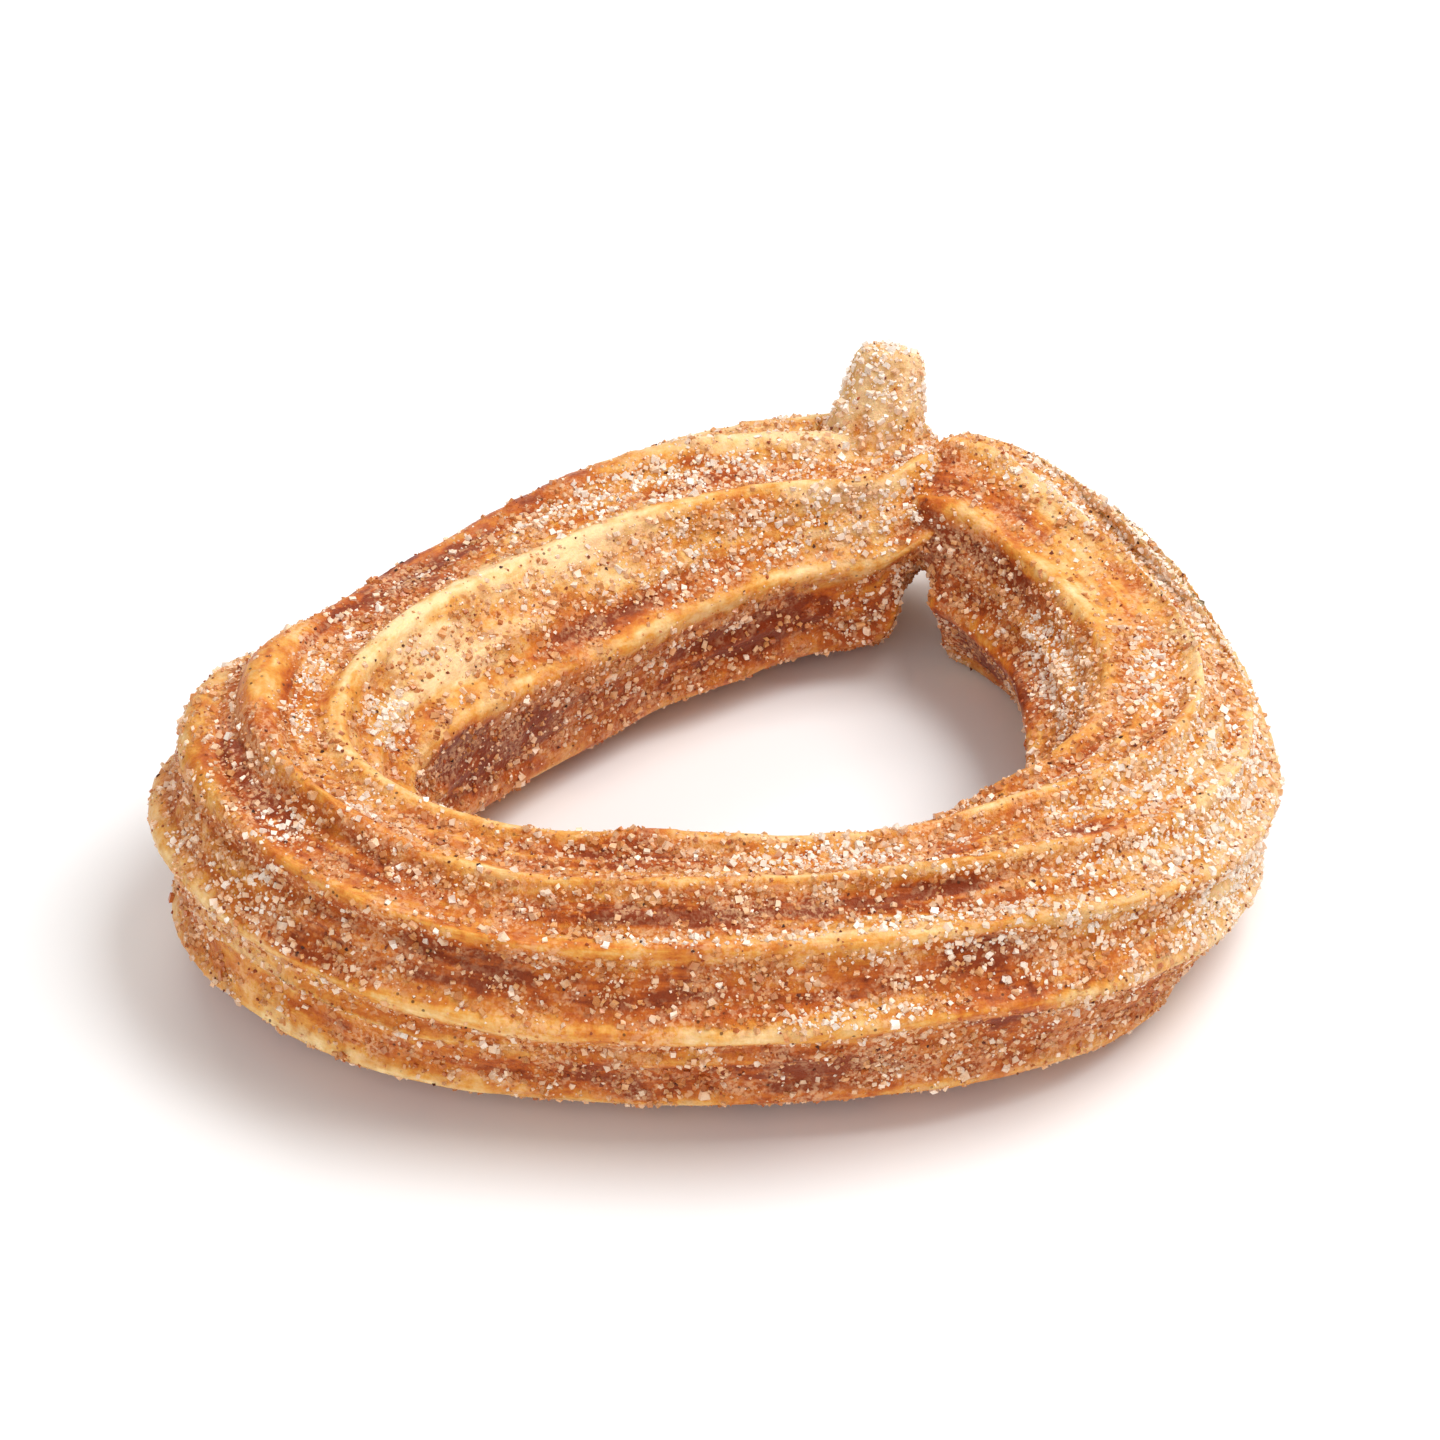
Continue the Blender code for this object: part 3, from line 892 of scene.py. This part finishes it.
def finish_crust(material):
    tree, shader, place = start_material(material)
    crest = kept_value(tree, "crest")
    sugar = kept_value(tree, "sugar")
    flow = kept_value(tree, "flow", "Vector")
    clouds = noise(tree, place, 7 * MM, 3.0, 0.6, 11.0)
    streaks = noise(tree, flow, 1.3 * MM, 3.0, 0.6, 12.0)
    fine = noise(tree, place, 0.5 * MM, 2.0, 0.6, 13.0)
    snowy = kept_value(tree, "snowy")
    out, up, along = parts(tree, kept_value(tree, "side", "Vector"))
    # Painted shade: the colour is made browner low down and on the faces inside the hole, and the sugar dust is
    # thinned there.
    painted_shade_low_inside = up.ramp(0.1, -0.6) * 0.06 + out.ramp(-0.5, -1.0) * 0.12
    browning_and_painted_shade = 0.5 + (clouds - 0.5) * 1.1 + (streaks - 0.5) * 1.3 + (0.5 - crest) * 0.3 + painted_shade_low_inside
    browning_and_painted_shade = browning_and_painted_shade + kept_value(tree, "fried") * (0.3 + streaks * 0.5) - snowy * 0.1
    browning_and_painted_shade = browning_and_painted_shade - kept_value(tree, "bare") * 0.1 - kept_value(tree, "pale") * 0.45
    browning_and_painted_shade = browning_and_painted_shade + (noise(tree, flow, 0.45 * MM, 2.0, 0.6, 17.0) - 0.5) * 0.4
    browning_and_painted_shade = browning_and_painted_shade + (noise(tree, place, 0.9 * MM, 3.0, 0.65, 18.0) - 0.5) * 0.9
    steps = [(0.0, CREAM), (0.2, PALE_GOLD), (0.4, GOLD), (0.58, DEEP_GOLD), (0.78, ORANGE_BROWN), (1.0, RED_BROWN)]
    colour = colour_steps(tree, browning_and_painted_shade, steps)
    dust = noise(tree, place, 0.8 * MM, 3.0, 0.7, 14.0)
    colour = mixed(tree, (sugar * dust.ramp(0.35, 0.6)) * (0.85 - snowy * 0.6), colour, CINNAMON_DUST)
    colour = mixed(tree, (sugar + snowy * 0.3) * fine.ramp(0.52, 0.64) * (0.8 - painted_shade_low_inside), colour, SUGAR_DUST)
    powder = noise(tree, place, 4 * MM, 2.0, 0.6, 19.0).ramp(0.45, 0.65) * noise(tree, place, 0.35 * MM, 2.0, 0.7, 20.0).ramp(0.42, 0.6)
    colour = mixed(tree, powder * 0.55, colour, SUGAR_DUST)
    specks = cells(tree, place, 0.9 * MM).ramp(0.16, 0.1) * noise(tree, place, 1.4 * MM, 0.0, 0.5, 15.0).ramp(0.5, 0.6)
    colour = mixed(tree, specks * 0.8, colour, SPECK)
    tree.links.new(colour.socket, shader.inputs["Base Color"])
    plug(tree, 0.42 + sugar * 0.3 + (fine - 0.5) * 0.2, shader.inputs["Roughness"])
    shader.inputs["IOR"].default_value = 1.42
    shader.inputs["Specular Tint"].default_value = srgb(255, 226, 190)
    shader.inputs["Subsurface Weight"].default_value = 0.15
    shader.inputs["Subsurface Radius"].default_value = (1.0, 0.45, 0.18)
    shader.inputs["Subsurface Scale"].default_value = 1.2 * MM
    grain = noise(tree, place, 0.25 * MM, 2.0, 0.7, 16.0)
    set_bump(tree, shader, grain * (0.5 + sugar) + streaks * 0.8 + fine * 0.8, 0.16 * MM, 0.9)


finish_crust(crust_material)
print("crust finish:", len(crust_material.node_tree.nodes), "nodes")

# %% [markdown]
# ## Sugar and cinnamon
#
# The sugar is granulated: clear blocky crystals half a millimetre to a millimetre long, with smaller
# broken ones and dust between them. Each kind is one small block, scattered by a tree over the crust
# where the sugar sticks, and turned and stretched at random with a fixed seed. Realizing the
# instances makes them one plain mesh. A block has only twelve triangles, so thousands stay light.

# %% Block shapes
def block_shapes(name, count, chipped, seed, faces=12):
    """A collection of blocks one unit across, each a cube, or a double pyramid, pulled out of shape."""
    draw = np.random.default_rng(seed)
    shapes = bpy.data.collections.new(name)
    for i in range(count):
        bm = bmesh.new()
        if faces == 12:
            bmesh.ops.create_cube(bm, size=1.0)
        else:
            bmesh.ops.create_uvsphere(bm, u_segments=4, v_segments=2, radius=0.65)
        for vertex in bm.verts:
            vertex.co += Vector(draw.uniform(-chipped, chipped, 3))
        bmesh.ops.triangulate(bm, faces=bm.faces)
        mesh = bpy.data.meshes.new(name)
        bm.to_mesh(mesh)
        bm.free()
        shapes.objects.link(bpy.data.objects.new(f"{name}_{i}", mesh))
    return shapes


SOCKET_KINDS[bpy.types.Collection] = "Collection"
crystal_shapes = block_shapes("crystal_shapes", 6, 0.16, 1)
dust_shapes = block_shapes("dust_shapes", 4, 0.14, 3, faces=8)
flake_shapes = block_shapes("flake_shapes", 4, 0.2, 2, faces=8)


# %% Scatter tree
def random_vector(tree, low, high, seed):
    inputs = {0: (low,) * 3, 1: (high,) * 3, "Seed": seed}
    return add_node(tree, "FunctionNodeRandomValue", inputs, data_type="FLOAT_VECTOR")


def random_number(tree, low, high, seed):
    return add_node(tree, "FunctionNodeRandomValue", {2: low, 3: high, "Seed": seed}, 1, data_type="FLOAT")


def scatter_tree(sizes):
    tree, given = new_tree("scatter", sizes)
    position = add_node(tree, "GeometryNodeInputPosition")
    height = parts(tree, position)[2]
    sugar = named(tree, "sugar", "FLOAT")
    gathered = noise(tree, position, 1.5 * MM, 2.0, 0.6, 21.0).ramp(0.36, 0.6)
    share = (sugar * given["In the grooves"] + given["Everywhere"]) * (0.25 + 0.75 * gathered)
    share = share * height.ramp(given["Clear of the floor"], given["Clear of the floor"] * 2.5)
    inputs = {
        "Mesh": given["Mesh"],
        "Distance Min": given["Spacing"],
        "Density Max": given["Most per square metre"],
        "Density Factor": share.clamp(),
        "Seed": given["Seed"],
    }
    points = add_node(tree, "GeometryNodeDistributePointsOnFaces", inputs, distribute_method="POISSON")
    normal = Wire(tree, points.socket.node.outputs["Normal"])
    size = random_number(tree, given["Smallest"], given["Largest"], given["Seed"] + 1.0)
    raised = vector_math(tree, "SCALE", normal, size * given["Lift"])
    points = add_node(tree, "GeometryNodeSetPosition", {"Geometry": points, "Offset": raised})
    stretch = vector_math(tree, "SCALE", random_vector(tree, 0.65, 1.3, given["Seed"] + 2.0), size)
    shapes = add_node(tree, "GeometryNodeCollectionInfo", {"Collection": given["Shapes"], "Separate Children": True})
    inputs = {
        "Points": points,
        "Instance": shapes,
        "Pick Instance": True,
        "Rotation": random_vector(tree, 0.0, 2 * math.pi, given["Seed"] + 3.0),
        "Scale": stretch,
    }
    grains = add_node(tree, "GeometryNodeInstanceOnPoints", inputs)
    grains = store(tree, grains, "grain", random_number(tree, 0.0, 1.0, given["Seed"] + 4.0), "FLOAT", "INSTANCE")
    close_tree(tree, grains)
    return tree


# %% Sugar and cinnamon finishes
sugar_material = bpy.data.materials.new("sugar_crystal")
cinnamon_material = bpy.data.materials.new("ground_cinnamon")


def finish_sugar(material):
    """Clear to milky crystals, a few of them stained by the cinnamon, and darker low down as painted shade."""
    tree, shader, place = start_material(material)
    grain = kept_value(tree, "grain")
    cloud = noise(tree, place, 0.4 * MM, 2.0, 0.6, 31.0)
    # Painted shade: crystals low on the strand take darker colours.
    low = parts(tree, kept_value(tree, "side", "Vector"))[1].ramp(0.1, -0.6)
    steps = [(0.0, srgb(255, 240, 224)), (0.3, srgb(250, 213, 177)), (0.62, srgb(228, 164, 102)), (1.0, srgb(194, 104, 44))]
    milky = kept_value(tree, "snowy") * 0.6 + (noise(tree, place, 2.2 * MM, 2.0, 0.6, 33.0) - 0.5) * 1.6
    colour = colour_steps(tree, 0.13 + grain * 0.75 + (cloud - 0.5) * 0.3 + low * 0.12 - milky, steps)
    tree.links.new(colour.socket, shader.inputs["Base Color"])
    plug(tree, 0.12 + cloud * 0.3, shader.inputs["Roughness"])
    plug(tree, (grain * 7.0).math("FRACT").ramp(0.0, 0.8) * 0.2, shader.inputs["Transmission Weight"])
    shader.inputs["IOR"].default_value = 1.54
    set_bump(tree, shader, noise(tree, place, 0.12 * MM, 1.0, 0.5, 32.0), 0.02 * MM, 0.5)


def finish_cinnamon(material):
    """Ground bark, from red-brown to nearly black."""
    tree, shader, place = start_material(material)
    grain = kept_value(tree, "grain")
    cloud = noise(tree, place, 0.2 * MM, 2.0, 0.6, 41.0)
    steps = [(0.0, srgb(58, 30, 18)), (0.25, srgb(112, 48, 22)), (1.0, srgb(176, 84, 36))]
    colour = colour_steps(tree, grain + (cloud - 0.5) * 0.5, steps)
    tree.links.new(colour.socket, shader.inputs["Base Color"])
    plug(tree, 0.7 + cloud * 0.2, shader.inputs["Roughness"])
    set_bump(tree, shader, cloud, 0.03 * MM, 0.8)


finish_sugar(sugar_material)
finish_cinnamon(cinnamon_material)
print("finishes:", sugar_material.name, "and", cinnamon_material.name)

# %% [markdown]
# The kinds differ only in size, number and how high they stand. Coarse crystals keep apart, because
# two can't lie in the same place, and the smaller ones fill in between.

# %% Scatter the grains
KINDS = {
    "coarse_sugar": dict(low=0.32, high=0.46, spacing=0.5, most=2.5e6, groove=0.8, everywhere=0.0, lift=0.0, seed=11),
    "medium_sugar": dict(low=0.24, high=0.34, spacing=0.3, most=6e6, groove=0.85, everywhere=0.04, lift=0.0, seed=15),
    "fine_sugar": dict(low=0.17, high=0.26, spacing=0.2, most=8e6, groove=0.8, everywhere=0.08, lift=0.05, seed=12),
    "sugar_dust": dict(low=0.1, high=0.17, spacing=0.15, most=8e6, groove=0.5, everywhere=0.12, lift=0.1, seed=13),
    "cinnamon_grains": dict(low=0.12, high=0.26, spacing=0.3, most=0.9e6, groove=0.5, everywhere=0.2, lift=0.1, seed=14),
}
SHAPES = {
    "coarse_sugar": crystal_shapes,
    "medium_sugar": crystal_shapes,
    "fine_sugar": dust_shapes,
    "sugar_dust": dust_shapes,
    "cinnamon_grains": flake_shapes,
}
CLEAR_OF_FLOOR = 0.5 * MM


def scatter(name, kind):
    is_sugar = "sugar" in name
    sizes = {
        "Shapes": SHAPES[name],
        "Spacing": kind["spacing"] * MM,
        "Most per square metre": kind["most"],
        "In the grooves": kind["groove"],
        "Everywhere": kind["everywhere"],
        "Smallest": kind["low"] * MM,
        "Largest": kind["high"] * MM,
        "Lift": kind["lift"],
        "Clear of the floor": CLEAR_OF_FLOOR,
        "Seed": kind["seed"],
        "Material": sugar_material if is_sugar else cinnamon_material,
    }
    mesh = run_tree(scatter_tree(sizes), crust_mesh, sizes)
    mesh.name = name
    grains = bpy.data.objects.new(name, mesh)
    bpy.context.scene.collection.objects.link(grains)
    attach(grains, "root")
    print(name, "triangles:", len(mesh.polygons))
    return grains


grain_pieces = [scatter(name, kind) for name, kind in KINDS.items()]
